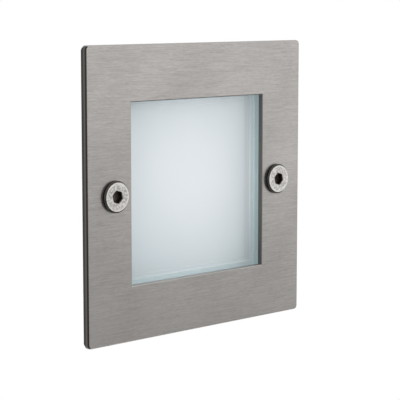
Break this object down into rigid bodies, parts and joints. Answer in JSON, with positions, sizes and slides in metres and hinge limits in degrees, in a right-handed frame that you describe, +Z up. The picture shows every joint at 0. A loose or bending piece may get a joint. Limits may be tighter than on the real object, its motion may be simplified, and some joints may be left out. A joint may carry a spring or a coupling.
{
  "type": "brick light",
  "caption": "Square recessed wall light: a brushed stainless faceplate with a glowing glazed window, screwed to a box that is set into the masonry.",
  "frame": {"origin": "centre of the faceplate, on the face of the wall that its gasket lies on", "axes": "X to the right seen from the front, +Y into the wall, +Z up; the light faces -Y"},
  "size_m": [0.08, 0.0634, 0.08],
  "materials": {
    "brushed_stainless": "horizontal brushing",
    "screw_stainless": "turned, satin",
    "zinc_plated_steel": "zinc plated, satin",
    "epdm_rubber": "matte black",
    "clear_silicone": "translucent, soft",
    "float_glass": "clear, polished",
    "opal_acrylic": "opal, lit from behind",
    "housing_polycarbonate": "white, fine moulded grain",
    "white_polycarbonate": "white, high reflectance",
    "aluminium_circuit_board": "white solder mask",
    "led_phosphor": "yellow phosphor in a white case",
    "fibreglass_circuit_board": "green solder mask",
    "capacitor_case": "moulded case",
    "capacitor_sleeve": "shrunk sleeve",
    "ferrite": "pressed ferrite and enamelled wire",
    "chip_epoxy": "moulded epoxy",
    "resistor_lacquer": "lacquer with colour bands",
    "brass": "turned and knurled",
    "tinned_copper": "tinned",
    "live_insulation": "brown silicone",
    "neutral_insulation": "blue silicone",
    "earth_insulation": "green and yellow silicone",
    "terminal_polyamide": "pale grey moulding",
    "button_polyamide": "orange moulding",
    "box_polypropylene": "black, fine moulded grain"
  },
  "bodies": {
    "wall_box": {"wall_box": "box_polypropylene", "threaded_inserts": "brass", "rear_grommet": "epdm_rubber", "bottom_grommet": "epdm_rubber"},
    "front_unit": {"faceplate": "brushed_stainless", "wall_gasket": "epdm_rubber", "front_glass_seal": "clear_silicone", "glass": "float_glass", "rear_glass_gasket": "clear_silicone", "diffuser": "opal_acrylic", "lamp_housing": "housing_polycarbonate", "weld_studs": "screw_stainless", "stud_washers": "zinc_plated_steel", "stud_nuts": "zinc_plated_steel", "reflector": "white_polycarbonate", "led_board": "aluminium_circuit_board", "leds": "led_phosphor", "led_board_screws": "zinc_plated_steel", "driver_board": "fibreglass_circuit_board", "driver_board_screws": "zinc_plated_steel", "film_capacitor": "capacitor_case", "smoothing_capacitor": "capacitor_sleeve", "choke": "ferrite", "bridge_rectifier": "chip_epoxy", "driver_chip": "chip_epoxy", "fuse_resistor": "resistor_lacquer", "link_pins": "tinned_copper", "lead_grommet": "epdm_rubber", "live_lead": "live_insulation", "neutral_lead": "neutral_insulation", "earth_lead": "earth_insulation", "earth_tag": "tinned_copper", "terminal_block": "terminal_polyamide", "terminal_contacts": "brass", "terminal_block_screws": "zinc_plated_steel"},
    "left_washer": {"left_sealing_washer": "epdm_rubber"},
    "left_screw": {"left_screw": "screw_stainless"},
    "right_washer": {"right_sealing_washer": "epdm_rubber"},
    "right_screw": {"right_screw": "screw_stainless"},
    "live_button": {"live_release_button": "button_polyamide"},
    "neutral_button": {"neutral_release_button": "button_polyamide"},
    "earth_button": {"earth_release_button": "button_polyamide"}
  },
  "joints": [
    {"name": "front_pull", "type": "slide", "parent": "wall_box", "child": "front_unit", "axis": [0, -1, 0], "range_m": [0, 0.055]},
    {"name": "left_screw_rise", "type": "slide", "parent": "front_unit", "child": "left_washer", "axis": [0, -1, 0], "range_m": [0, 0.01]},
    {"name": "left_screw_turn", "type": "hinge", "parent": "left_washer", "child": "left_screw", "pos_m": [-0.0305, 0, 0], "axis": [0, -1, 0], "range_deg": [0, 4500]},
    {"name": "right_screw_rise", "type": "slide", "parent": "front_unit", "child": "right_washer", "axis": [0, -1, 0], "range_m": [0, 0.01]},
    {"name": "right_screw_turn", "type": "hinge", "parent": "right_washer", "child": "right_screw", "pos_m": [0.0305, 0, 0], "axis": [0, -1, 0], "range_deg": [0, 4500]},
    {"name": "live_button_press", "type": "slide", "parent": "front_unit", "child": "live_button", "axis": [0, -1, 0], "range_m": [0, 0.001], "stiffness_N_per_m": 500, "springref_m": -0.002},
    {"name": "neutral_button_press", "type": "slide", "parent": "front_unit", "child": "neutral_button", "axis": [0, -1, 0], "range_m": [0, 0.001], "stiffness_N_per_m": 500, "springref_m": -0.002},
    {"name": "earth_button_press", "type": "slide", "parent": "front_unit", "child": "earth_button", "axis": [0, -1, 0], "range_m": [0, 0.001], "stiffness_N_per_m": 500, "springref_m": -0.002}
  ],
  "couplings": [
    {"joint": "left_screw_turn", "follows": "left_screw_rise", "rad_per_m": 7854},
    {"joint": "right_screw_turn", "follows": "right_screw_rise", "rad_per_m": 7854}
  ]
}
